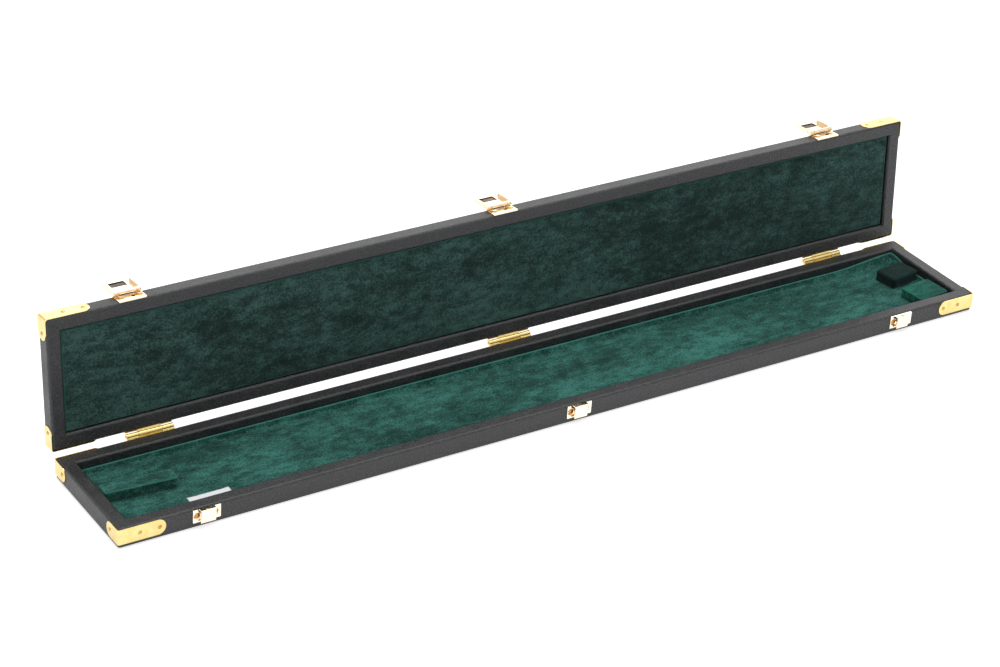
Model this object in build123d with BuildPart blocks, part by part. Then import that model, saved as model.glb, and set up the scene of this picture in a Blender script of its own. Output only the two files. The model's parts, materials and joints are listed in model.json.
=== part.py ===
from build123d import *
from dataclasses import dataclass
from math import atan, cos, degrees, radians, sin
import os

# A slim hinged case for one cello bow, with its lid standing open.
# Sizes are in millimetres. X runs along the case, Y from the latches to the hinges, Z up.
# The origin is the middle of the underside.

# Case
case_length = 790.0
case_width = 105.5
base_height = 16.0
lid_height = 13.2
wall_width = 11.5
parting_gap = 0.4
lid_open_angle = 95.0
corner_radius = 2.2
rim_round = 2.0
cover_round = 1.5
cover_seam = -120.0

# Boards, sheets and linings
leather = 0.8
panel_thickness = 2.2
velvet = 1.0
base_pad_drop = 11.0
lid_pad_drop = 1.5
lip_height = 3.6
lip_width = 1.1
lip_round = 0.5
pad_round = 1.5
label_length = 34.0
label_width = 12.0
label_thickness = 0.25
label_end_gap = 57.0
label_wall_gap = 6.5

# Velvet blocks that hold the bow
block_drop = 2.0
block_round = 1.6
block_wall_gap = 0.2
left_block_length = 57.0
left_block_width = 13.0
left_block_y = 1.9
left_block_angle = -3.7
front_block_length = 31.0
front_block_width = 25.0
front_block_wall = 16.15
front_block_angle = 5.0
rear_block_length = 30.4
rear_block_width = 21.4
rear_block_y = 11.2
rear_block_angle = 9.0

# Clearances
glue = 0.1
seam = 0.15
seat = 0.05
pad_gap = 0.3
shank_clearance = 0.05
knuckle_gap = 0.2
pin_clearance = 0.05

# Pressed brass and its fasteners
sheet = 0.9
screw_shank = 1.1
screw_length = 9.0
screw_head = 2.1
screw_dome = 0.4
screw_slot = 0.5
dish_radius = 3.3
nail_shank = 0.6
nail_length = 7.0
nail_head = 1.7
nail_dome = 0.8
hole_spare = 0.3

# Corner protectors
corner_sheet = 0.6
corner_fold = 1.6
corner_height = 12.6
corner_drop = 0.2
corner_long_leg = 37.0
corner_short_leg = 18.0
long_leg_nails = (16.6, 32.2)
short_leg_nails = (12.6,)

# Catches on the base
fitting_pitch = 321.0
fitting_offset = -4.8
catch_width = 22.3
catch_height = 10.9
catch_drop = 0.6
fitting_round = 0.7
nose_width = 12.0
nose_reach = 4.35
nose_tail_reach = 3.4
nose_tail_drop = 0.1
nose_sheet = 0.8
nose_round = 0.4
boss_radius = 1.5
boss_height = 0.5
fitting_screw_spread = 7.4

# Latches on the lid
latch_width = 22.4
latch_drop = 0.1
latch_screw_drop = 6.6
latch_hole_drop = 5.4
latch_hole = 1.45
latch_hole_offset = 2.6
pivot_drop = 11.2
pivot_height = 3.0
latch_knuckle = 1.7
latch_pin = 0.8
flap_length = 22.0
flap_sheet = 0.8
flap_knuckle_width = 14.6
flap_neck = 2.3
flap_round = 2.0
flange_height = 2.6
flange_start = 2.8
flange_end_gap = 1.2
window_clearance = 0.4
window_start = 11.6
window_length = 8.0
window_skin = 0.2
slot_spread = 18.0
slot_length = 3.0
slot_width = 0.9
slot_start = 3.4
spring_sheet = 0.25
spring_width = 10.0

# Hinges
hinge_pitch = 317.5
hinge_width = 38.7
hinge_leaf = 9.6
hinge_drop = 0.9
hinge_round = 1.0
hinge_reach = 3.3
hinge_rise = 0.4
barrel_radius = 1.95
hinge_pin = 0.8
pin_overhang = 0.4
middle_knuckle = 19.1
hinge_web = 1.4
hinge_screw_spread = 13.0
hinge_screw_drop = 6.6
stop_clearance = 0.15
stop_sheet = 1.5
stop_length = 4.5

# Where things end up
closed_height = base_height + parting_gap + lid_height
hinge_y = case_width / 2 + hinge_reach
hinge_z = base_height + hinge_rise
skin = leather + glue
front_block_y = -case_width / 2 + wall_width + front_block_wall
SIDES = ("front", "rear", "left", "right")
STATIONS = {"left": -1, "middle": 0, "right": 1}
ENDS = {"left": -1, "right": 1}


@dataclass
class Half:
    """One half of the case. Its frame lies on the outer cover and looks into the mouth."""

    name: str
    height: float
    pad_drop: float
    lip: float
    pin_drop: float
    frame: Plane
    hinge_side: int

    @property
    def mouth_axis(self):
        return Axis(self.frame.origin, self.frame.z_dir)

    @property
    def length_axis(self):
        return Axis(self.frame.origin, self.frame.x_dir)

    @property
    def width_axis(self):
        return Axis(self.frame.origin, self.frame.y_dir)

    @property
    def pad_face(self):
        return self.height - self.pad_drop


closed_lid_frame = Plane(origin=(0, 0, closed_height), x_dir=(1, 0, 0), z_dir=(0, 0, -1))
swing_open = (
    Location((0, hinge_y, hinge_z))
    * Location((0, 0, 0), (-lid_open_angle, 0, 0))
    * Location((0, -hinge_y, -hinge_z))
)
open_lid_frame = Plane(swing_open * closed_lid_frame.location)

base = Half("base", base_height, base_pad_drop, lip_height, -hinge_rise, Plane.XY, 1)
lid = Half("lid", lid_height, lid_pad_drop, 0.0, hinge_rise - parting_gap, open_lid_frame, -1)


def moved(plane, x=0.0, y=0.0, z=0.0):
    """The same plane with its origin moved in its own directions."""
    return Plane(origin=plane.from_local_coords((x, y, z)), x_dir=plane.x_dir, z_dir=plane.z_dir)


def wall_plane(half, side, along=0.0):
    """A plane on an outer wall: origin at the mouth, y away from the mouth, z outwards."""
    frame = half.frame
    if side in ("front", "rear"):
        sign = half.hinge_side if side == "rear" else -half.hinge_side
        outward = frame.y_dir * sign
        origin = frame.from_local_coords((along, sign * case_width / 2, half.height))
    else:
        sign = ENDS[side]
        outward = frame.x_dir * sign
        origin = frame.from_local_coords((sign * case_length / 2, along, half.height))
    away = frame.z_dir * -1
    return Plane(origin=origin, x_dir=away.cross(outward), z_dir=outward)


def fitting_plane(half, station):
    """The front wall's plane at a catch or a latch."""
    return wall_plane(half, "front", station * fitting_pitch + fitting_offset)


def section_plane(plane, along=0.0):
    """A plane across a wall fitting: x away from the mouth, y outwards."""
    origin = plane.from_local_coords((along, 0, 0))
    return Plane(origin=origin, x_dir=plane.y_dir, z_dir=plane.x_dir)


def write(piece, name):
    """Label a finished piece and write its file."""
    piece.part.label = name
    export_step(piece.part, f"parts/{name}.step")


# Fastener places, each a plane on a wall with z outwards


def catch_screw_places():
    drop = catch_drop + catch_height / 2
    return [
        moved(fitting_plane(base, station), side * fitting_screw_spread, drop)
        for station in STATIONS.values()
        for side in (-1, 1)
    ]


def latch_screw_places():
    return [
        moved(fitting_plane(lid, station), side * fitting_screw_spread, latch_screw_drop)
        for station in STATIONS.values()
        for side in (-1, 1)
    ]


def hinge_screw_places(half):
    return [
        moved(wall_plane(half, "rear", station * hinge_pitch), side * hinge_screw_spread,
              hinge_screw_drop)
        for station in STATIONS.values()
        for side in (-1, 0, 1)
    ]


def nail_places(half):
    drop = corner_drop + corner_height / 2
    places = []
    for side, span, nails in (
        ("front", case_length, long_leg_nails),
        ("rear", case_length, long_leg_nails),
        ("left", case_width, short_leg_nails),
        ("right", case_width, short_leg_nails),
    ):
        for nail in nails:
            for end in (-1, 1):
                places.append(moved(wall_plane(half, side), end * (span / 2 - nail), drop))
    return places


def drill(places, radius, depth):
    """Cut a round hole from just above each place to a depth below it."""
    above = sheet + hole_spare
    with Locations(*[moved(place, z=above) for place in places]):
        Cylinder(radius, depth + above, align=(Align.CENTER, Align.CENTER, Align.MAX), mode=Mode.SUBTRACT)


def drill_wall(half):
    """Pilot holes for every screw and nail that enters this half."""
    screws = hinge_screw_places(half)
    screws += catch_screw_places() if half is base else latch_screw_places()
    drill(screws, screw_shank + shank_clearance, screw_length + hole_spare)
    drill(nail_places(half), nail_shank + shank_clearance, nail_length + hole_spare)


# Boxwork: panel, rails and the leatherette over them


def rail_ring(half, inset, bottom, top):
    """All four rails as one ring, inset from the case's outer and inner walls."""
    with BuildPart() as ring:
        with BuildSketch(half.frame.offset(bottom)):
            RectangleRounded(case_length - 2 * inset, case_width - 2 * inset, corner_radius - inset)
            hole = 2 * (wall_width - inset)
            Rectangle(case_length - hole, case_width - hole, mode=Mode.SUBTRACT)
        extrude(amount=top - bottom)
        fillet(ring.faces().sort_by(half.mouth_axis)[-1].edges(), rim_round - inset)
    return ring


def panel_board(half, inset, bottom, top):
    """A board over the whole half."""
    with BuildPart() as board:
        with BuildSketch(half.frame.offset(bottom)):
            RectangleRounded(case_length - 2 * inset, case_width - 2 * inset, corner_radius - inset)
        extrude(amount=top - bottom)
    return board


def leather_skin(half):
    """The whole leatherette skin of a half, before it is cut into sheets."""
    room_for_rails = rail_ring(half, leather, leather, half.height - leather)
    room_for_panel = panel_board(half, leather, leather, skin + panel_thickness + glue)
    with BuildPart() as shell:
        with BuildSketch(half.frame):
            RectangleRounded(case_length, case_width, corner_radius)
        extrude(amount=half.height)
        with BuildSketch(half.frame.offset(leather)):
            Rectangle(case_length - 2 * wall_width, case_width - 2 * wall_width)
        extrude(amount=half.height - leather, mode=Mode.SUBTRACT)
        fillet(shell.faces().sort_by(half.mouth_axis)[-1].edges(), rim_round)
        fillet(shell.faces().sort_by(half.mouth_axis)[0].edges(), cover_round)
        add(room_for_rails.part, mode=Mode.SUBTRACT)
        add(room_for_panel.part, mode=Mode.SUBTRACT)
        drill_wall(half)
    return shell


def side_region(half, side, bottom, gap):
    """The plan of one side of the frame, cut by the mitres at both its ends."""
    reach = case_width / 2
    far = case_length / 2 + reach
    near = case_length / 2 - reach
    if side in ("front", "rear"):
        sign = half.hinge_side if side == "rear" else -half.hinge_side
        corners = [(-near, 0), (near, 0), (far, sign * 2 * reach), (-far, sign * 2 * reach)]
    else:
        sign = ENDS[side]
        corners = [(sign * near, 0), (sign * far, 2 * reach), (sign * far, -2 * reach)]
    with BuildSketch(half.frame.offset(bottom)) as region:
        with BuildLine():
            Polyline(*corners, close=True)
        make_face()
        if gap:
            offset(amount=-gap / 2, kind=Kind.INTERSECTION, mode=Mode.REPLACE)
    return region.sketch


def mitred_side(half, ring, side, bottom, gap):
    """One side of a ring, from a height above the cover to the mouth."""
    with BuildPart() as length:
        add(ring.part)
        extrude(side_region(half, side, bottom, gap), amount=half.height, mode=Mode.INTERSECT)
    return length


def outer_cover(half, shell):
    """The leatherette over the outer face. The base's is in two lengths that meet in a seam."""
    with BuildPart() as cover:
        add(shell.part)
        with BuildSketch(half.frame):
            Rectangle(case_length + wall_width, case_width + wall_width)
        extrude(amount=leather, mode=Mode.INTERSECT)
        if half is base:
            with BuildSketch(half.frame):
                with Locations((cover_seam, 0)):
                    Rectangle(seam, 2 * case_width)
            extrude(amount=leather, mode=Mode.SUBTRACT)
    return cover


# Linings


def pad_slab(half, inset, bottom, top, round_over):
    """A padded slab inside the walls with its face rounded at the edges."""
    gap = 2 * (wall_width + pad_gap + inset)
    with BuildPart() as slab:
        with BuildSketch(half.frame.offset(bottom)):
            Rectangle(case_length - gap, case_width - gap)
        extrude(amount=top - bottom)
        fillet(slab.faces().sort_by(half.mouth_axis)[-1].edges(), round_over)
    return slab


def velvet_lining(half, foam):
    """Velvet wrapped over the foam, down to the panel. In the base it turns up at the walls."""
    edge_round = lip_round if half.lip else pad_round
    cloth = pad_slab(half, 0.0, skin + panel_thickness, half.pad_face + half.lip, edge_round)
    with BuildPart() as lining:
        add(cloth.part)
        if half.lip:
            gap = 2 * (wall_width + pad_gap + lip_width)
            with BuildSketch(half.frame.offset(half.pad_face)):
                Rectangle(case_length - gap, case_width - gap)
            extrude(amount=half.lip, mode=Mode.SUBTRACT)
        add(foam.part, mode=Mode.SUBTRACT)
    return lining


def velvet_block(end, length, width, y, angle):
    """A velvet-covered block on the floor of the base, with a corner near one end wall."""
    bottom = base.pad_face
    turn = radians(angle)
    reach = (length * cos(turn) + width * abs(sin(turn))) / 2
    wall = case_length / 2 - wall_width - pad_gap - lip_width - block_wall_gap
    place = Plane(
        origin=(ENDS[end] * (wall - reach), y, bottom),
        x_dir=(cos(turn), sin(turn), 0),
        z_dir=(0, 0, 1),
    )
    with BuildPart() as block:
        with BuildSketch(place):
            Rectangle(length, width)
        extrude(amount=base_height - block_drop - bottom)
        upright = block.edges().filter_by(Axis.Z)
        fillet(upright, block_round)
        fillet(block.faces().sort_by(Axis.Z)[-1].edges(), block_round)
    return block


def paper_label():
    """A blank label on the floor, near the front wall."""
    x = -case_length / 2 + wall_width + label_end_gap + label_length / 2
    y = -case_width / 2 + wall_width + label_wall_gap + label_width / 2
    with BuildPart() as label:
        with BuildSketch(Plane.XY.offset(base.pad_face)):
            with Locations((x, y)):
                Rectangle(label_length, label_width)
        extrude(amount=label_thickness)
    return label


# Fasteners


def countersunk_screw():
    """A slotted screw. Its seat is at z = 0, its shank points down."""
    cone_start = seat
    cone_end = seat + sheet * (screw_head - screw_shank) / (dish_radius - screw_shank)
    with BuildPart() as screw:
        with BuildSketch(Plane.XZ):
            with BuildLine():
                Polyline(
                    (0, cone_end + screw_dome),
                    (0, -screw_length),
                    (screw_shank / 2, -screw_length),
                    (screw_shank, -screw_length + 2 * screw_shank),
                    (screw_shank, cone_start),
                    (screw_head, cone_end),
                )
                RadiusArc(
                    (screw_head, cone_end),
                    (0, cone_end + screw_dome),
                    -(screw_head**2 + screw_dome**2) / (2 * screw_dome),
                )
            make_face()
        revolve(axis=Axis.Z)
        with Locations((0, 0, cone_end + screw_dome)):
            Box(2 * screw_head, screw_slot, 2 * screw_dome, mode=Mode.SUBTRACT)
    return screw


def domed_nail():
    """A small domed nail that pins a corner protector. z = 0 is the wall."""
    seat_height = seat + corner_sheet
    with BuildPart() as nail:
        with BuildSketch(Plane.XZ):
            with BuildLine():
                Polyline(
                    (0, seat_height + nail_dome),
                    (0, -nail_length),
                    (nail_shank, -nail_length + 2 * nail_shank),
                    (nail_shank, seat_height),
                    (nail_head, seat_height),
                )
                RadiusArc(
                    (nail_head, seat_height),
                    (0, seat_height + nail_dome),
                    -(nail_head**2 + nail_dome**2) / (2 * nail_dome),
                )
            make_face()
        revolve(axis=Axis.Z)
    return nail


def fastener_set(pattern, places):
    """Copies of one fastener, one at each place."""
    with BuildPart() as group:
        with Locations(*places):
            add(pattern.part)
    return group


def dished_holes(places):
    """A dished seat for a screw in brass sheet that lies on the wall."""
    hole = screw_shank + shank_clearance + seat
    with Locations(*[moved(place, z=seat + sheet) for place in places]):
        CounterSinkHole(
            radius=hole,
            counter_sink_radius=dish_radius + seat,
            depth=2 * sheet,
            counter_sink_angle=2 * degrees(atan((dish_radius + seat - hole) / sheet)),
        )


# Corner protectors


def corner_protector(half, end, side):
    """An L of brass sheet round an upright corner, with rounded leg ends."""
    x_sign = ENDS[end]
    y_sign = half.hinge_side if side == "rear" else -half.hinge_side
    outer = seat + corner_sheet
    bottom = half.height - corner_drop - corner_height
    with BuildPart() as corner:
        with BuildSketch(half.frame.offset(bottom)):
            RectangleRounded(case_length + 2 * outer, case_width + 2 * outer, corner_fold)
            RectangleRounded(
                case_length + 2 * seat, case_width + 2 * seat, corner_radius + seat, mode=Mode.SUBTRACT
            )
            with Locations((x_sign * case_length / 2, y_sign * case_width / 2)):
                Rectangle(2 * corner_long_leg, 2 * corner_short_leg, mode=Mode.INTERSECT)
        extrude(amount=corner_height)
        end_round = corner_height / 2 - seat
        across = corner.edges().filter_by(half.width_axis).group_by(half.length_axis)
        fillet(across[0 if x_sign > 0 else -1], end_round)
        along = corner.edges().filter_by(half.length_axis).group_by(half.width_axis)
        fillet(along[0 if y_sign > 0 else -1], end_round)
        drill(nail_places(half), nail_shank + shank_clearance, nail_length)
    return corner


# Catches and latches


def fitting_outline(place, width, start, end, corner):
    """The outline of a brass plate on a wall, from one distance from the mouth to another."""
    with BuildSketch(moved(place, z=seat)) as outline:
        with Locations((0, (start + end) / 2)):
            RectangleRounded(width, end - start, corner)
    return outline.sketch


def catch(station):
    """The catch on the base: a plate with a nose that stands out and slopes back down."""
    place = fitting_plane(base, station)
    plate_end = catch_drop + catch_height
    tail = plate_end + nose_tail_drop
    with BuildPart() as piece:
        extrude(fitting_outline(place, catch_width, catch_drop, plate_end, fitting_round), amount=sheet)
        dished_holes(catch_screw_places())
        with BuildSketch(section_plane(place)):
            with BuildLine():
                Polyline(
                    (catch_drop, seat),
                    (catch_drop, nose_reach),
                    (tail, nose_tail_reach),
                    (tail, nose_tail_reach - nose_sheet),
                    (catch_drop + sheet, nose_reach - nose_sheet),
                    (catch_drop + sheet, seat),
                    close=True,
                )
            make_face()
        extrude(amount=nose_width / 2, both=True)
        crest = piece.edges().filter_by(Axis.X).sort_by(Axis.Y)[0]
        fillet(crest, nose_round)
        middle = (seat + sheet + nose_reach) / 2
        ledge = place.from_local_coords((0, catch_drop, middle))
        with Locations(Plane(origin=ledge, x_dir=place.x_dir, z_dir=place.y_dir * -1)):
            Cylinder(boss_radius, 2 * boss_height)
        fillet(piece.faces().sort_by(Axis.Z)[-1].edges(), boss_height / 2)
    return piece


def latch_plate(station):
    """The latch's plate on the lid, with a knuckle at each side for the flap's pin."""
    place = fitting_plane(lid, station)
    rear = pivot_drop + latch_knuckle
    with BuildPart() as piece:
        extrude(fitting_outline(place, latch_width, latch_drop, rear, fitting_round), amount=sheet)
        knuckle_width = (latch_width - flap_knuckle_width) / 2 - knuckle_gap
        for side in (-1, 1):
            start = side * (latch_width / 2)
            with BuildSketch(section_plane(place, start)):
                with Locations((pivot_drop, pivot_height)):
                    Circle(latch_knuckle)
                    Rectangle(
                        latch_knuckle,
                        pivot_height - seat - sheet / 2,
                        align=(Align.MIN, Align.MAX),
                    )
            extrude(amount=-side * knuckle_width)
        with BuildSketch(section_plane(place)):
            with Locations((pivot_drop, pivot_height)):
                Circle(latch_pin + pin_clearance)
        extrude(amount=latch_width, both=True, mode=Mode.SUBTRACT)
        dished_holes(latch_screw_places())
        with Locations(moved(place, latch_hole_offset, latch_hole_drop, seat + sheet)):
            Cone(
                latch_hole + 2 * sheet,
                latch_hole,
                2 * sheet,
                align=(Align.CENTER, Align.CENTER, Align.MAX),
                mode=Mode.SUBTRACT,
            )
    return piece


def latch_flap(station):
    """The folding flap of a latch, lying back over the lid: a channel with a pocket for the nose."""
    place = fitting_plane(lid, station)
    under = pivot_height - latch_knuckle
    end = pivot_drop + flap_length
    root = pivot_drop + flap_neck
    with BuildPart() as piece:
        with BuildSketch(moved(place, z=under)):
            with Locations((0, (root + end) / 2)):
                Rectangle(latch_width, end - root)
            with Locations((0, (pivot_drop + root) / 2)):
                Rectangle(flap_knuckle_width, root - pivot_drop + seam)
        extrude(amount=flap_sheet)
        tips = piece.edges().filter_by(Axis(place.origin, place.z_dir)).group_by(
            Axis(place.origin, place.y_dir))[-1]
        fillet(tips, flap_round)
        with BuildSketch(section_plane(place)):
            with Locations((pivot_drop, pivot_height)):
                Circle(latch_knuckle)
        extrude(amount=flap_knuckle_width / 2, both=True)
        with BuildSketch(section_plane(place)):
            with Locations((pivot_drop, pivot_height)):
                Circle(latch_pin + pin_clearance)
        extrude(amount=latch_width, both=True, mode=Mode.SUBTRACT)
        flange_top = under + flap_sheet + flange_height
        near = pivot_drop + flange_start
        far = end - flap_round - flange_end_gap
        for side in (-1, 1):
            with BuildSketch(section_plane(place, side * latch_width / 2)):
                with BuildLine():
                    Polyline(
                        (near, under),
                        (near + flange_height / 2, flange_top),
                        (far - flange_height / 2, flange_top),
                        (far, under),
                        close=True,
                    )
                make_face()
            extrude(amount=-side * flap_sheet)
        with BuildSketch(moved(place, z=under + window_skin)):
            with Locations((0, pivot_drop + window_start + window_length / 2)):
                RectangleRounded(nose_width + 2 * window_clearance, window_length, fitting_round)
        extrude(amount=flap_sheet, mode=Mode.SUBTRACT)
        with BuildSketch(moved(place, z=under)):
            with Locations(*[(side * slot_spread / 2, pivot_drop + slot_start) for side in (-1, 1)]):
                Rectangle(slot_length, slot_width)
        extrude(amount=flap_sheet, mode=Mode.SUBTRACT)
    return piece


def latch_pins():
    """A pin through each latch's knuckles."""
    with BuildPart() as pins:
        for station in STATIONS.values():
            place = section_plane(fitting_plane(lid, station))
            with BuildSketch(moved(place, x=pivot_drop, y=pivot_height)):
                Circle(latch_pin)
            extrude(amount=latch_width / 2, both=True)
    return pins


def latch_springs():
    """A leaf spring under each flap's knuckle."""
    length = 2 * latch_knuckle
    with BuildPart() as springs:
        for station in STATIONS.values():
            place = fitting_plane(lid, station)
            with BuildSketch(moved(place, y=pivot_drop, z=seat + sheet)):
                Rectangle(spring_width, length)
            extrude(amount=spring_sheet)
    return springs


# Hinges


def hinge_leaf_part(half, station):
    """One leaf of a hinge. The lid's leaf has the middle knuckle and the stop."""
    place = wall_plane(half, "rear", station * hinge_pitch)
    leaf_end = hinge_drop + hinge_leaf
    if half is lid:
        spans = [(-middle_knuckle / 2, middle_knuckle / 2)]
    else:
        inner = middle_knuckle / 2 + knuckle_gap
        spans = [(-hinge_width / 2, -inner), (inner, hinge_width / 2)]
    with BuildPart() as leaf:
        extrude(fitting_outline(place, hinge_width, hinge_drop, leaf_end, hinge_round), amount=sheet)
        dished_holes(hinge_screw_places(half))
        for start, end in spans:
            with BuildSketch(section_plane(place, start)):
                with Locations((half.pin_drop, hinge_reach)):
                    Circle(barrel_radius)
                with BuildLine():
                    Polyline(
                        (hinge_drop, seat),
                        (hinge_drop + hinge_web, seat),
                        (half.pin_drop + barrel_radius, hinge_reach),
                        (half.pin_drop, hinge_reach),
                        close=True,
                    )
                make_face()
            extrude(amount=end - start)
        if half is lid:
            stop_place = wall_plane(base, "rear", station * hinge_pitch)
            with BuildSketch(section_plane(stop_place, -middle_knuckle / 2)):
                with Locations((base.pin_drop, seat + sheet + stop_clearance)):
                    Rectangle(stop_length, stop_sheet, align=(Align.MIN, Align.MIN))
            extrude(amount=middle_knuckle)
        with BuildSketch(section_plane(place)):
            with Locations((half.pin_drop, hinge_reach)):
                Circle(hinge_pin + pin_clearance)
        extrude(amount=hinge_width, both=True, mode=Mode.SUBTRACT)
    return leaf


def hinge_pins():
    """A pin through each hinge's knuckles."""
    with BuildPart() as pins:
        for station in STATIONS.values():
            place = section_plane(wall_plane(base, "rear", station * hinge_pitch))
            with BuildSketch(moved(place, x=base.pin_drop, y=hinge_reach)):
                Circle(hinge_pin)
            extrude(amount=hinge_width / 2 + pin_overhang, both=True)
        fillet(pins.edges().filter_by(GeomType.CIRCLE), pin_overhang / 2)
    return pins


# Build and write every piece

os.makedirs("parts", exist_ok=True)

screw = countersunk_screw()
nail = domed_nail()

for half in (base, lid):
    panel_top = skin + panel_thickness
    write(panel_board(half, skin, skin, panel_top), f"{half.name}_panel")

    rails = rail_ring(half, skin, panel_top, half.height - skin)
    with BuildPart() as drilled_rails:
        add(rails.part)
        drill_wall(half)
    shell = leather_skin(half)
    write(outer_cover(half, shell), f"{half.name}_outer_cover")
    for side in SIDES:
        write(mitred_side(half, drilled_rails, side, panel_top, 0.0), f"{half.name}_{side}_rail")
        write(mitred_side(half, shell, side, leather + seat, seam), f"{half.name}_{side}_wrap")

    foam = pad_slab(half, velvet, panel_top, half.pad_face - velvet, pad_round - velvet)
    write(foam, f"{half.name}_foam")
    write(velvet_lining(half, foam), f"{half.name}_velvet")

    for end in ENDS:
        for side in ("front", "rear"):
            write(corner_protector(half, end, side), f"{half.name}_{side}_{end}_corner")
    write(fastener_set(nail, nail_places(half)), f"{half.name}_corner_nails")
    write(fastener_set(screw, hinge_screw_places(half)), f"{half.name}_hinge_screws")
    for name, station in STATIONS.items():
        write(hinge_leaf_part(half, station), f"{half.name}_{name}_hinge_leaf")

for name, station in STATIONS.items():
    write(catch(station), f"{name}_catch")
    write(latch_plate(station), f"{name}_latch_plate")
    write(latch_flap(station), f"{name}_latch_flap")

write(fastener_set(screw, catch_screw_places()), "catch_screws")
write(fastener_set(screw, latch_screw_places()), "latch_screws")
write(latch_pins(), "latch_pins")
write(latch_springs(), "latch_springs")
write(hinge_pins(), "hinge_pins")

left_block = velvet_block("left", left_block_length, left_block_width, left_block_y, left_block_angle)
front_block = velvet_block(
    "right", front_block_length, front_block_width, front_block_y, front_block_angle)
rear_block = velvet_block("right", rear_block_length, rear_block_width, rear_block_y, rear_block_angle)
write(left_block, "left_block")
write(front_block, "right_front_block")
write(rear_block, "right_rear_block")
write(paper_label(), "blank_label")
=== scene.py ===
import json
import math

import bpy
from mathutils import Euler, Matrix, Vector, noise


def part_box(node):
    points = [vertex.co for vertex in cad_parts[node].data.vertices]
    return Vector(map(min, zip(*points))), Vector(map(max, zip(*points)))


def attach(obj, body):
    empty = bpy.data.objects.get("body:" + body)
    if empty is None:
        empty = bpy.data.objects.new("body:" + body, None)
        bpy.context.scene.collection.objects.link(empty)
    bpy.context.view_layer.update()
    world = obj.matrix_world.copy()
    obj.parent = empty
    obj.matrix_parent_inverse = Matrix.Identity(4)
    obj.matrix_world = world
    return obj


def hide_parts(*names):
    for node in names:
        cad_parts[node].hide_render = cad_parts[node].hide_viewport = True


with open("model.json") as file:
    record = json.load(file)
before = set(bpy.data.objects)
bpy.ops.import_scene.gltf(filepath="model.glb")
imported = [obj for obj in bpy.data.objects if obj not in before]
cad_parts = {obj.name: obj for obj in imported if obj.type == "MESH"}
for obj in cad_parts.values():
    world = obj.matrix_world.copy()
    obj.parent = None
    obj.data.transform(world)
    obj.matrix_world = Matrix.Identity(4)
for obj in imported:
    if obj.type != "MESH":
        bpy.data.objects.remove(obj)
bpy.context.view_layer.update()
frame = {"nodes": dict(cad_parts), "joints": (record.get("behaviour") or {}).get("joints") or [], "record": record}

# A slim hinged case for one cello bow, with its lid standing open.
# Sizes are in metres, in the frame of the CAD model.

MM = 0.001

# Sizes that the soft pieces share with the CAD model
case_length = 790 * MM
case_width = 105.5 * MM
wall_width = 11.5 * MM
pad_gap = 0.3 * MM
panel_top = 3.1 * MM
floor_height = 5.0 * MM
lip_height = 3.6 * MM
lip_width = 1.1 * MM
lid_face = 11.7 * MM
closed_height = 29.6 * MM
lid_open = math.radians(95)
block_top = 14.0 * MM
block_wall_gap = 0.2 * MM

inner_x = case_length / 2 - wall_width - pad_gap
inner_y = case_width / 2 - wall_width - pad_gap
lip_top = floor_height + lip_height

# The pocket in each flap, measured from the latch pins, and where a catch's boss begins
flap_pitch = 321 * MM
pocket_start = 11.5 * MM
pocket_length = 8.2 * MM
pocket_width = 13 * MM
pocket_low = -1.6 * MM
pocket_high = -1.0 * MM
lid_lean = lid_open - math.pi / 2
boss_start = 15.46 * MM

# Loose paper
paper_thickness = 0.22 * MM
paper_gap = 0.12 * MM
corner_curl = 1.6 * MM

# Colours
gilt = (0.93, 0.78, 0.58)
gilt_shade = (0.86, 0.66, 0.44)
bare_brass = (0.62, 0.38, 0.10)
# Painted shade for the inside of the flaps' pockets, dark and warm
pocket_shade_deep = (0.018, 0.010, 0.005)
pocket_shade_warm = (0.10, 0.05, 0.02)

# How strongly the world lights the case, and how much the floor adds to its own look
world_light = 0.42
floor_glow = 0.58


# Materials


def new_material(name):
    """A new material with its node tree and its shader."""
    material = bpy.data.materials.new(name)
    material.use_nodes = True
    tree = material.node_tree
    return material, tree, tree.nodes["Principled BSDF"]


def node(tree, kind, **settings):
    made = tree.nodes.new(kind)
    for key, value in settings.items():
        setattr(made, key, value)
    return made


def object_coordinates(tree, scale=(1, 1, 1)):
    """The place on the piece, stretched by scale."""
    place = node(tree, "ShaderNodeTexCoord")
    stretch = node(tree, "ShaderNodeMapping")
    stretch.inputs["Scale"].default_value = scale
    tree.links.new(place.outputs["Object"], stretch.inputs["Vector"])
    return stretch.outputs["Vector"]


def component(tree, vector, axis):
    split = node(tree, "ShaderNodeSeparateXYZ")
    tree.links.new(vector, split.inputs["Vector"])
    return split.outputs[axis]


def noise_value(tree, vector, scale, detail, roughness=0.55):
    made = node(tree, "ShaderNodeTexNoise")
    made.inputs["Scale"].default_value = scale
    made.inputs["Detail"].default_value = detail
    made.inputs["Roughness"].default_value = roughness
    tree.links.new(vector, made.inputs["Vector"])
    return made.outputs["Fac"]


def ramp(tree, value, stops):
    """A colour ramp through the given (position, colour) stops."""
    made = node(tree, "ShaderNodeValToRGB")
    elements = made.color_ramp.elements
    while len(elements) < len(stops):
        elements.new(0.5)
    for element, (position, colour) in zip(elements, stops):
        element.position = position
        element.color = (*colour, 1)
    tree.links.new(value, made.inputs["Fac"])
    return made.outputs["Color"]


def map_range(tree, value, low, high, to_low=0.0, to_high=1.0):
    made = node(tree, "ShaderNodeMapRange")
    for key, number in (("From Min", low), ("From Max", high), ("To Min", to_low), ("To Max", to_high)):
        made.inputs[key].default_value = number
    tree.links.new(value, made.inputs["Value"])
    return made.outputs["Result"]


def math_node(tree, operation, first, second):
    made = node(tree, "ShaderNodeMath", operation=operation)
    for socket, value in zip(made.inputs, (first, second)):
        if isinstance(value, (int, float)):
            socket.default_value = value
        else:
            tree.links.new(value, socket)
    return made.outputs["Value"]


def weighted_sum(tree, first, first_share, second, second_share):
    return math_node(tree, "ADD", math_node(tree, "MULTIPLY", first, first_share),
                     math_node(tree, "MULTIPLY", second, second_share))


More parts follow.
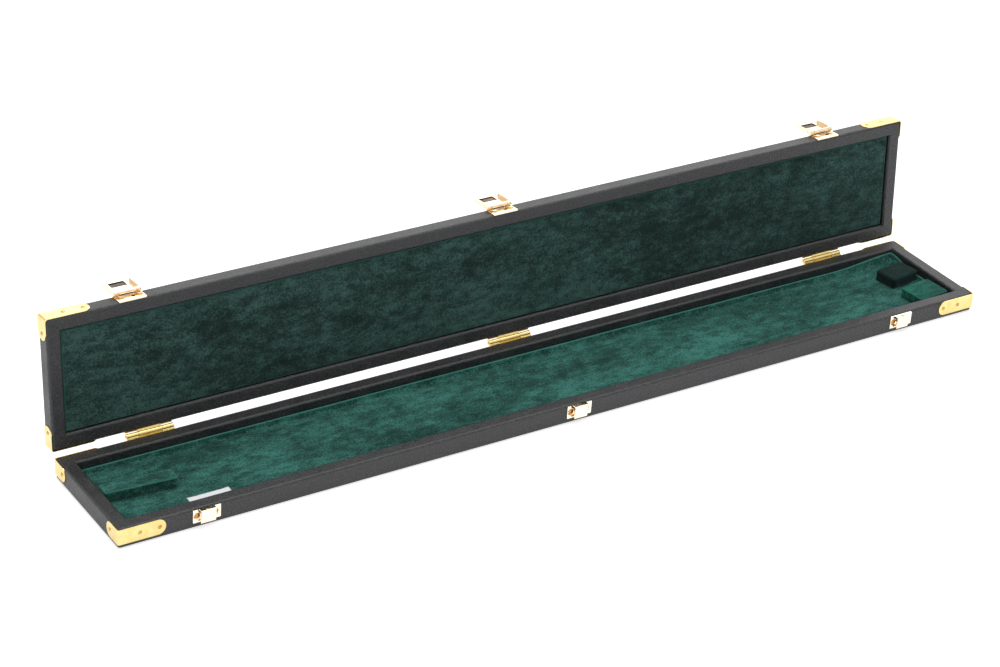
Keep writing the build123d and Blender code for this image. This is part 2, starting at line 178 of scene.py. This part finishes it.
def mix_colour(tree, factor, first, second, blend="MIX"):
    """Two colours mixed. The node has other sockets for numbers and vectors, so these go by index."""
    made = node(tree, "ShaderNodeMix", data_type="RGBA", blend_type=blend)
    sockets = (made.inputs[0], made.inputs[6], made.inputs[7])
    for socket, value in zip(sockets, (factor, first, second)):
        if isinstance(value, (int, float)):
            socket.default_value = value
        elif isinstance(value, tuple):
            socket.default_value = (*value, 1)
        else:
            tree.links.new(value, socket)
    return made.outputs[2]


def bump(tree, height, distance, strength, below=None):
    made = node(tree, "ShaderNodeBump")
    made.inputs["Distance"].default_value = distance
    made.inputs["Strength"].default_value = strength
    tree.links.new(height, made.inputs["Height"])
    if below is not None:
        tree.links.new(below, made.inputs["Normal"])
    return made.outputs["Normal"]


def leatherette():
    """Black coated cloth with a fine pebble grain."""
    material, tree, shader = new_material("leatherette")
    place = object_coordinates(tree)
    cells = node(tree, "ShaderNodeTexVoronoi", feature="SMOOTH_F1")
    cells.inputs["Scale"].default_value = 720
    cells.inputs["Smoothness"].default_value = 0.35
    wobble = noise_value(tree, place, 420, 2.0)
    shifted = node(tree, "ShaderNodeVectorMath", operation="ADD")
    nudge = node(tree, "ShaderNodeCombineXYZ")
    tree.links.new(math_node(tree, "MULTIPLY", wobble, 0.0012), nudge.inputs["X"])
    tree.links.new(math_node(tree, "MULTIPLY", wobble, 0.0009), nudge.inputs["Y"])
    tree.links.new(place, shifted.inputs[0])
    tree.links.new(nudge.outputs["Vector"], shifted.inputs[1])
    tree.links.new(shifted.outputs["Vector"], cells.inputs["Vector"])
    grain = cells.outputs["Distance"]
    fine = noise_value(tree, place, 3200, 3.0)
    cloudy = noise_value(tree, place, 60, 3.0)
    tone = ramp(tree, cloudy, [(0.3, (0.018, 0.018, 0.020)), (0.7, (0.040, 0.040, 0.043))])
    pits = map_range(tree, grain, 0.05, 0.5, 1.8, 0.35)
    tree.links.new(mix_colour(tree, 1.0, tone, pits, "MULTIPLY"), shader.inputs["Base Color"])
    tree.links.new(map_range(tree, cloudy, 0.3, 0.7, 0.36, 0.50), shader.inputs["Roughness"])
    shader.inputs["Specular IOR Level"].default_value = 0.6
    slack = bump(tree, noise_value(tree, object_coordinates(tree, (1, 3, 3)), 18, 2.0), 0.0006, 0.35)
    pebbles = weighted_sum(tree, grain, -0.8, fine, 0.35)
    tree.links.new(bump(tree, pebbles, 0.0004, 1.0, slack), shader.inputs["Normal"])
    return material


def velvet(name, deep, pile, edge):
    """Green velvet: a streaky pile with brushed patches, with the edge colour mixed in as a painted highlight
    where the edge attribute says.
    """
    material, tree, shader = new_material(name)
    strokes = noise_value(tree, object_coordinates(tree, (0.5, 1, 1)), 150, 5.0, 0.75)
    patches = noise_value(tree, object_coordinates(tree, (0.5, 1.3, 1.3)), 19, 3.0)
    speckle = noise_value(tree, object_coordinates(tree), 640, 4.0, 0.9)
    mottled = weighted_sum(tree, strokes, 0.6, patches, 0.4)
    tufts = weighted_sum(tree, mottled, 0.55, speckle, 0.45)
    dim_pile = tuple(0.4 * part for part in pile)
    nap = ramp(tree, tufts, [(0.43, deep), (0.50, dim_pile), (0.57, pile)])
    # The edge attribute mixes in a painted highlight, standing in for light caught by the pile at a fold
    painted_highlight_share = node(tree, "ShaderNodeAttribute", attribute_name="edge")
    tree.links.new(mix_colour(tree, painted_highlight_share.outputs["Fac"], nap, edge), shader.inputs["Base Color"])
    shader.inputs["Roughness"].default_value = 0.95
    shader.inputs["Specular IOR Level"].default_value = 0.15
    shader.inputs["Sheen Weight"].default_value = 0.25
    shader.inputs["Sheen Roughness"].default_value = 0.45
    shader.inputs["Sheen Tint"].default_value = (0.45, 0.85, 0.75, 1)
    pressed = bump(tree, mottled, 0.0012, 0.5)
    tree.links.new(bump(tree, speckle, 0.0004, 0.7, pressed), shader.inputs["Normal"])
    return material


def smeared(tree, smears, colour, shade):
    """A metal's colour, with its shade in the smears."""
    return mix_colour(tree, map_range(tree, smears, 0.35, 0.7), colour, shade)


def polished_metal(name, colour, shade, roughness, bare_above=None):
    """Polished metal with faint smears and fine lines. Above a given height it is bare brass."""
    material, tree, shader = new_material(name)
    place = object_coordinates(tree)
    smears = noise_value(tree, place, 160, 4.0)
    lines = noise_value(tree, object_coordinates(tree, (0.15, 2.5, 2.5)), 1400, 2.0)
    tone = smeared(tree, smears, colour, shade)
    if bare_above is not None:
        above = math_node(tree, "GREATER_THAN", component(tree, place, "Z"), bare_above)
        tone = mix_colour(tree, above, tone, bare_brass)
    tree.links.new(tone, shader.inputs["Base Color"])
    shader.inputs["Metallic"].default_value = 1.0
    dulled = map_range(tree, smears, 0.3, 0.75, roughness, roughness + 0.1)
    tree.links.new(dulled, shader.inputs["Roughness"])
    tree.links.new(bump(tree, lines, 0.00003, 0.35), shader.inputs["Normal"])
    return material


def inside_pockets(tree, place):
    """1 inside each flap's pocket and 0 elsewhere. The place is that of the flap lying back."""
    pin = Vector(frame["joints"][2]["pos_m"])
    off_centre = math_node(tree, "SUBTRACT", component(tree, place, "X"), pin.x)
    off_centre = math_node(tree, "PINGPONG", off_centre, flap_pitch / 2)
    inside = math_node(tree, "LESS_THAN", off_centre, pocket_width / 2)
    outwards = (0, math.sin(lid_lean), math.cos(lid_lean))
    lengthwise = (0, math.cos(lid_lean), -math.sin(lid_lean))
    for direction, low, high in (
        (outwards, pocket_low, pocket_high),
        (lengthwise, pocket_start, pocket_start + pocket_length),
    ):
        along = node(tree, "ShaderNodeVectorMath", operation="DOT_PRODUCT")
        tree.links.new(place, along.inputs[0])
        along.inputs[1].default_value = direction
        reach = math_node(tree, "SUBTRACT", along.outputs["Value"], pin.dot(Vector(direction)))
        for test, limit in (("GREATER_THAN", low), ("LESS_THAN", high)):
            inside = math_node(tree, "MULTIPLY", inside, math_node(tree, test, reach, limit))
    return inside


def flap_gilt():
    """The gilt of the flaps, with painted shade, dark and warm, inside their pockets."""
    material, tree, shader = new_material("flap_gold")
    place = object_coordinates(tree)
    smears = noise_value(tree, place, 160, 4.0)
    tone = smeared(tree, smears, gilt, gilt_shade)
    # Painted shade where the inside of the pocket lies in shadow
    pocket_shade = mix_colour(tree, map_range(tree, smears, 0.4, 0.65), pocket_shade_deep, pocket_shade_warm)
    tree.links.new(mix_colour(tree, inside_pockets(tree, place), tone, pocket_shade), shader.inputs["Base Color"])
    shader.inputs["Metallic"].default_value = 1.0
    shader.inputs["Roughness"].default_value = 0.14
    return material


def grained(name, dark, light, scale, detail, roughness, depth, strength, stretch=(1, 1, 1)):
    """A dull material whose grain shows in its colour and its surface."""
    material, tree, shader = new_material(name)
    grain = noise_value(tree, object_coordinates(tree, stretch), scale, detail)
    tree.links.new(ramp(tree, grain, [(0.3, dark), (0.7, light)]), shader.inputs["Base Color"])
    shader.inputs["Roughness"].default_value = roughness
    tree.links.new(bump(tree, grain, depth, strength), shader.inputs["Normal"])
    return material


def board():
    """Plain softwood and plywood, with a soft grain along the case."""
    return grained("board", (0.50, 0.36, 0.22), (0.72, 0.56, 0.38), scale=400, detail=4.0,
                   roughness=0.75, depth=0.0001, strength=0.5, stretch=(0.06, 1, 1))


def foam():
    """Open-celled foam, hidden under the velvet."""
    return grained("foam", (0.62, 0.60, 0.50), (0.85, 0.83, 0.74), scale=1500, detail=2.0,
                   roughness=1.0, depth=0.0003, strength=0.8)


def paper():
    """Matt white paper with a faint fibre."""
    return grained("paper", (0.86, 0.87, 0.89), (0.95, 0.95, 0.96), scale=700, detail=4.0,
                   roughness=0.6, depth=0.00006, strength=0.5)


finishes = {
    "leatherette": leatherette(),
    "board": board(),
    "foam": foam(),
    "velvet": velvet("velvet", (0.004, 0.026, 0.021), (0.050, 0.205, 0.168), (0.06, 0.25, 0.20)),
    "yellow_brass": polished_metal("yellow_brass", (0.84, 0.67, 0.30), (0.78, 0.58, 0.22), roughness=0.18),
    "pale_gold": polished_metal("pale_gold", gilt, gilt_shade, roughness=0.10),
    "spring_steel": polished_metal("spring_steel", (0.60, 0.60, 0.61), (0.48, 0.48, 0.50), roughness=0.25),
    "paper": paper(),
}
# The lid's velvet is a darker copy of the velvet: painted shade, as its upright face gets less of the light from
# above
lid_velvet = velvet("lid_velvet", (0.007, 0.018, 0.015), (0.062, 0.138, 0.118), (0.05, 0.16, 0.13))
# Lit and shaded copies of the velvet for the two right-hand blocks: painted light and painted shade for how the
# light catches their pile
painted_lit_velvet = velvet("painted_lit_velvet", (0.003, 0.034, 0.025), (0.020, 0.165, 0.120), (0.05, 0.24, 0.18))
painted_shade_velvet = velvet("painted_shade_velvet", (0.001, 0.003, 0.003), (0.005, 0.018, 0.015), (0.010, 0.040, 0.032))

# Finishes that go by the last word of a node's name: the fasteners are duller than the sheets, and darker, partly
# with painted shade
special_finishes = {
    "catch": polished_metal("catch_gold", (0.98, 0.88, 0.74), (0.95, 0.80, 0.62), roughness=0.08,
                            bare_above=boss_start),
    "flap": flap_gilt(),
    # The nails are a yellower brass of their own, darkened with painted shade as round their heads
    "nails": polished_metal("nail_brass", (0.62, 0.42, 0.14), (0.46, 0.28, 0.08), roughness=0.2),
    # The screws are darkened to a deep orange: painted shade of the dished seats they sit in
    "screws": polished_metal("screw_brass", (0.70, 0.38, 0.12), (0.46, 0.22, 0.06), roughness=0.25),
}

for part in frame["record"]["subparts"]:
    shown = frame["nodes"][part["node"]]
    ending = part["node"].split("_")[-1]
    shown.data.materials.clear()
    shown.data.materials.append(special_finishes.get(ending, finishes[part["material_slot"]]))


# Soft pieces


def make_piece(name, points, faces, material, body, edges=None):
    """A smooth mesh that rides a body. edges gives each point's share of painted highlight."""
    mesh = bpy.data.meshes.new(name)
    mesh.from_pydata(points, [], faces)
    mesh.update()
    attribute = mesh.attributes.new("edge", "FLOAT", "POINT")
    if edges:
        attribute.data.foreach_set("value", edges)
    for polygon in mesh.polygons:
        polygon.use_smooth = True
    mesh.materials.append(material)
    piece = bpy.data.objects.new(name, mesh)
    bpy.context.scene.collection.objects.link(piece)
    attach(piece, body)
    return piece


def spread(half, fine, step):
    """Places from -half to half: the fine distances from each end, then even steps."""
    inner = half - fine[-1]
    count = max(2, round(2 * inner / step))
    middle = [-inner + 2 * inner * i / count for i in range(1, count)]
    return [-half + d for d in fine] + middle + [half - d for d in reversed(fine)]


def grid_faces(along, across):
    """The faces between the points of a grid, seen from above."""
    return [
        (i * across + j, (i + 1) * across + j, (i + 1) * across + j + 1, i * across + j + 1)
        for i in range(along - 1)
        for j in range(across - 1)
    ]


def grid_rim(along, across):
    """The indices of the points round the edge of a grid, in order."""
    rim = [(i, 0) for i in range(along)]
    rim += [(along - 1, j) for j in range(1, across)]
    rim += [(i, across - 1) for i in range(along - 2, -1, -1)]
    rim += [(0, j) for j in range(across - 2, 0, -1)]
    return [i * across + j for i, j in rim]


def slab(xs, ys, top, bottom, place):
    """A closed slab over a grid of places, its upper face at top(x, y) and its lower face flat."""
    points = [place @ Vector((x, y, top(x, y))) for x in xs for y in ys]
    faces = grid_faces(len(xs), len(ys))
    rim = grid_rim(len(xs), len(ys))
    around = len(rim)
    below = len(points)
    points += [place @ Vector((xs[k // len(ys)], ys[k % len(ys)], bottom)) for k in rim]
    for k in range(around):
        following = (k + 1) % around
        faces.append((rim[following], rim[k], below + k, below + following))
    faces.append(tuple(below + k for k in reversed(range(around))))
    return points, faces


def waves(x, y, size, seed):
    """A smooth uneven height from -1 to 1."""
    return noise.noise(Vector((x / size, y / size, seed)))


def wall_distance(x, y):
    return min(inner_x - abs(x), inner_y - abs(y))


def ease(value, low, high):
    """A smooth step from 0 at low to 1 at high."""
    share = min(1.0, max(0.0, (value - low) / (high - low)))
    return share * share * (3 - 2 * share)


def floor_top(x, y):
    """The base's lining: a soft floor that turns up at the walls, most at one rear corner."""
    d = wall_distance(x, y)
    lift_along = ease(x, inner_x - 60 * MM, inner_x - 4 * MM)
    lift_across = ease(y, inner_y - 30 * MM, inner_y - 2 * MM)
    lift = lift_along * lift_across
    uneven = 0.22 * MM * waves(x, y, 45 * MM, 0.4) + 0.12 * MM * waves(x, y, 14 * MM, 7.7)
    flat = floor_height - 0.1 * MM + uneven
    crest = lip_top + 4.2 * MM * lift + 0.12 * MM * waves(x, y, 50 * MM, 5.2)
    cove_start = 0.55 * lip_width
    cove_width = 2.6 * MM + 3.5 * MM * lift + 1.4 * MM * waves(x, y, 90 * MM, 3.1)
    fall = ease(d, cove_start, cove_start + cove_width)
    rounding = 0.35 * MM * max(0.0, 1 - d / (0.35 * lip_width)) ** 2
    return crest + (flat - crest) * fall - rounding


def lid_top(x, y):
    """The lid's pad: nearly flat, with a soft roll along its edge."""
    d = wall_distance(x, y)
    roll = 2.2 * MM
    drop = roll - math.sqrt(max(0.0, roll * roll - max(0.0, roll - d) ** 2))
    crown = 0.35 * MM * ease(d, 0.0, 30 * MM)
    return lid_face - 0.25 * MM - drop + crown + 0.14 * MM * waves(x, y, 60 * MM, 9.3)


# Distances from the walls in millimetres, close together where the linings are rounded
near_wall = (0, 0.1, 0.22, 0.36, 0.5, 0.65, 0.8, 1.0, 1.25, 1.55, 1.9, 2.3, 2.8, 3.4, 4.2, 5.4, 7)
fine = [distance * MM for distance in near_wall]
xs = spread(inner_x, fine, 3.5 * MM)
ys = spread(inner_y, fine, 2.6 * MM)

# Lining of the base, with a painted highlight along the top of the turned-up edge
points, faces = slab(xs, ys, floor_top, panel_top, Matrix.Identity(4))
edges = []
for p in points:
    high_up = ease(p.z, lip_top - 0.9 * MM, lip_top - 0.2 * MM)
    close_by = 1 - ease(wall_distance(p.x, p.y), 0.9 * MM, 1.6 * MM)
    edges.append(0.9 * high_up * close_by)
base_lining = make_piece("base_lining", points, faces, finishes["velvet"], "base", edges)
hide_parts("base_velvet", "base_foam")

# Pad of the lid, made lying flat and then turned over and open round the hinge line
hinge = Vector(frame["joints"][0]["pos_m"])
lid_place = (
    Matrix.Translation(hinge)
    @ Matrix.Rotation(-lid_open, 4, "X")
    @ Matrix.Translation(-hinge)
    @ Matrix.Translation((0, 0, closed_height))
    @ Matrix.Rotation(math.pi, 4, "X")
)
points, faces = slab(xs, ys, lid_top, panel_top, lid_place)
back = lid_place.inverted()
# A painted highlight along the pad's rolled edge, where its pile would catch the light
edges = []
for p in points:
    local = back @ p
    high_up = ease(local.z, lid_face - 3.0 * MM, lid_face - 1.6 * MM)
    close_by = 1 - ease(wall_distance(local.x, local.y), 0.5 * MM, 1.6 * MM)
    edges.append(0.85 * close_by * high_up)
lid_pad = make_piece("lid_pad", points, faces, lid_velvet, "lid", edges)
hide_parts("lid_velvet", "lid_foam")


def quarter_turns(turns):
    """The direction after so many quarter turns."""
    angle = math.pi / 2 * turns
    return Vector((math.cos(angle), math.sin(angle)))


def block_outline(length, width, corner, inset):
    """Points round a rectangle with rounded corners, drawn in by inset."""
    corner_steps, side_steps = 6, 8
    radius = max(corner - inset, 0.2 * MM)
    reach_x = length / 2 - inset - radius
    reach_y = width / 2 - inset - radius
    centres = [Vector((sx * reach_x, sy * reach_y)) for sx, sy in ((1, 1), (-1, 1), (-1, -1), (1, -1))]
    outline = []
    for quarter, centre in enumerate(centres):
        for step in range(corner_steps + 1):
            outline.append(centre + radius * quarter_turns(quarter + step / corner_steps))
        away = radius * quarter_turns(quarter + 1)
        start, end = centre + away, centres[(quarter + 1) % 4] + away
        for step in range(1, side_steps):
            outline.append(start.lerp(end, step / side_steps))
    return outline


def block_place(end, length, width, y, angle, bottom):
    """Where a block stands, with its corner just inside the turned-up edge of the lining."""
    turn = math.radians(angle)
    reach = (length * math.cos(turn) + width * abs(math.sin(turn))) / 2
    x = end * (inner_x - lip_width - block_wall_gap - reach)
    return Matrix.Translation((x, y, bottom)) @ Matrix.Rotation(turn, 4, "Z")


def velvet_block(name, node_name, material, seed, end, length, width, y, angle):
    """A block under velvet: soft rounded edges, a crowned top and sides that pull in a little."""
    bottom = floor_height - 0.25 * MM
    height = block_top - bottom
    soft = 1.7 * MM
    corner = 2.2 * MM
    # Each ring's inset and height, up the sides and over the rounded edge
    rings = [(0.05 * MM, 0.0), (0.25 * MM, 0.35 * height), (0.2 * MM, 0.6 * height)]
    for step in range(8):
        turn = math.pi / 2 * step / 7
        rings.append((0.05 * MM + soft * (1 - math.cos(turn)), height - soft + soft * math.sin(turn)))
    points, faces, edges = [], [], []
    for inset, z in rings:
        for p in block_outline(length, width, corner, inset):
            uneven = 0.25 * MM * waves(p.x, p.y + z, 8 * MM, seed) * (z / height)
            points.append(Vector((
                p.x * (1 - uneven / length),
                p.y * (1 - uneven / width),
                z + uneven * 0.4,
            )))
            # A painted highlight along the block's rounded top edge
            edges.append(0.8 * max(0.0, 1 - abs(z - height + 0.45 * soft) / (0.5 * soft)))
    last = block_outline(length, width, corner, rings[-1][0])
    # The crowned top, in ever smaller rings
    for shrink in (0.86, 0.68, 0.5, 0.32, 0.15):
        for p in last:
            top = p * shrink
            crown = 0.3 * MM * (1 - shrink * shrink) + 0.15 * MM * waves(top.x, top.y, 12 * MM, seed)
            points.append(Vector((top.x, top.y, height - 0.12 * MM + crown)))
            edges.append(0.0)
    around = len(last)
    total = len(points) // around
    for ring in range(total - 1):
        low, high = ring * around, (ring + 1) * around
        for k in range(around):
            following = (k + 1) % around
            faces.append((low + k, low + following, high + following, high + k))
    faces.append(tuple((total - 1) * around + k for k in range(around)))
    faces.append(tuple(reversed(range(around))))
    place = block_place(end, length, width, y, angle, bottom)
    block = make_piece(name, [place @ p for p in points], faces, material, "base", edges)
    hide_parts(node_name)


# A block's last five values are its end of the case, its length, width and y in mm, and its angle
# The right-hand blocks wear the painted light and painted shade copies of the velvet
for name, node_name, material, seed, end, length, width, y, angle in (
    ("left_velvet_block", "left_block", finishes["velvet"], 1.5, -1, 57, 13, 1.9, -3.7),
    ("front_velvet_block", "right_front_block", painted_lit_velvet, 4.5, 1, 31, 25, -25.1, 5),
    ("rear_velvet_block", "right_rear_block", painted_shade_velvet, 8.5, 1, 30.4, 21.4, 11.2, 9),
):
    velvet_block(name, node_name, material, seed, end, length * MM, width * MM, y * MM, angle)


def paper_sheet(low, high):
    """A thin sheet that lies on the uneven floor, with its corners curled up a little."""
    columns, rows = 24, 9
    upper, lower = [], []
    for i in range(columns + 1):
        for j in range(rows + 1):
            x = low.x + (high.x - low.x) * i / columns
            y = low.y + (high.y - low.y) * j / rows
            near_end = max(0.0, abs(i / columns - 0.5) * 2 - 0.7)
            near_side = max(0.0, abs(j / rows - 0.5) * 2 - 0.3)
            height = floor_top(x, y) + paper_gap + corner_curl * near_end * near_side
            lower.append(Vector((x, y, height)))
            upper.append(Vector((x, y, height + paper_thickness)))
    below = len(upper)
    faces = grid_faces(columns + 1, rows + 1)
    faces += [tuple(below + k for k in reversed(face)) for face in faces]
    rim = grid_rim(columns + 1, rows + 1)
    for k, first in enumerate(rim):
        second = rim[(k + 1) % len(rim)]
        faces.append((second, first, below + first, below + second))
    return upper + lower, faces


points, faces = paper_sheet(*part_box("blank_label"))
label = make_piece("paper_label", points, faces, finishes["paper"], "base")
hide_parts("blank_label")


# Floor, lights and camera


def background_rays(tree):
    """1 for the rays that see the background: from the camera, off a gloss or through glass."""
    rays = node(tree, "ShaderNodeLightPath")
    seen = math_node(tree, "MAXIMUM", rays.outputs["Is Camera Ray"], rays.outputs["Is Glossy Ray"])
    return math_node(tree, "MAXIMUM", seen, rays.outputs["Is Transmission Ray"])


def stage_floor():
    """A white floor that keeps the case's soft shadow."""
    reach = 6.0
    corners = [(-reach, -reach, 0), (reach, -reach, 0), (reach, reach, 0), (-reach, reach, 0)]
    mesh = bpy.data.meshes.new("floor")
    mesh.from_pydata(corners, [], [(0, 1, 2, 3)])
    floor = bpy.data.objects.new("floor", mesh)
    floor.location.z = -0.1 * MM
    bpy.context.scene.collection.objects.link(floor)
    material, tree, shader = new_material("floor")
    shader.inputs["Base Color"].default_value = (0.82, 0.83, 0.85, 1)
    shader.inputs["Roughness"].default_value = 1.0
    shader.inputs["Specular IOR Level"].default_value = 0.0
    glow = node(tree, "ShaderNodeEmission")
    glow.inputs["Color"].default_value = (1, 1, 1, 1)
    strength = math_node(tree, "MULTIPLY", background_rays(tree), floor_glow)
    tree.links.new(strength, glow.inputs["Strength"])
    both = node(tree, "ShaderNodeAddShader")
    tree.links.new(shader.outputs["BSDF"], both.inputs[0])
    tree.links.new(glow.outputs["Emission"], both.inputs[1])
    tree.links.new(both.outputs["Shader"], tree.nodes["Material Output"].inputs["Surface"])
    mesh.materials.append(material)


def studio_world():
    """A background that looks white and lights the case less strongly than that."""
    world = bpy.data.worlds.new("studio")
    bpy.context.scene.world = world
    world.use_nodes = True
    tree = world.node_tree
    sky = tree.nodes["Background"]
    sky.inputs["Color"].default_value = (1, 1, 1, 1)
    strength = map_range(tree, background_rays(tree), 0, 1, world_light, 1.0)
    tree.links.new(strength, sky.inputs["Strength"])


def area_lamp(name, place, target, size, power):
    """A soft rectangular lamp that points at its target."""
    data = bpy.data.lights.new(name, "AREA")
    data.shape = "RECTANGLE"
    data.size, data.size_y = size
    data.energy = power
    lamp = bpy.data.objects.new(name, data)
    lamp.location = place
    lamp.rotation_mode = "QUATERNION"
    lamp.rotation_quaternion = (Vector(target) - Vector(place)).to_track_quat("-Z", "Y")
    bpy.context.scene.collection.objects.link(lamp)


def photo_camera(place, degrees, focal_pixels, photo_width):
    """The camera, from its place, its turn in degrees and its focal length in the photograph's pixels."""
    data = bpy.data.cameras.new("camera")
    data.sensor_width = 36
    data.lens = focal_pixels / photo_width * data.sensor_width
    data.clip_start, data.clip_end = 0.05, 50
    camera = bpy.data.objects.new("camera", data)
    bpy.context.scene.collection.objects.link(camera)
    turn = Euler([math.radians(angle) for angle in degrees])
    camera.matrix_world = Matrix.LocRotScale(Vector(place), turn, None)
    bpy.context.scene.camera = camera


stage_floor()
studio_world()
area_lamp("overhead", place=(0.1, 0.25, 1.9), target=(0, 0, 0), size=(2.4, 1.4), power=26)
area_lamp("back_box", place=(1.5, 2.2, 1.5), target=(0, 0, 0.05), size=(2.4, 1.3), power=13)
area_lamp("front_fill", place=(-1.4, -1.8, 1.2), target=(0, 0, 0.05), size=(1.2, 1.2), power=6)
photo_camera(place=(-1.09783, -1.53577, 1.11239), degrees=(60.4626, -3.5976, -32.3392),
             focal_pixels=2779.54, photo_width=1000)

bpy.context.scene.view_settings.view_transform = "Standard"
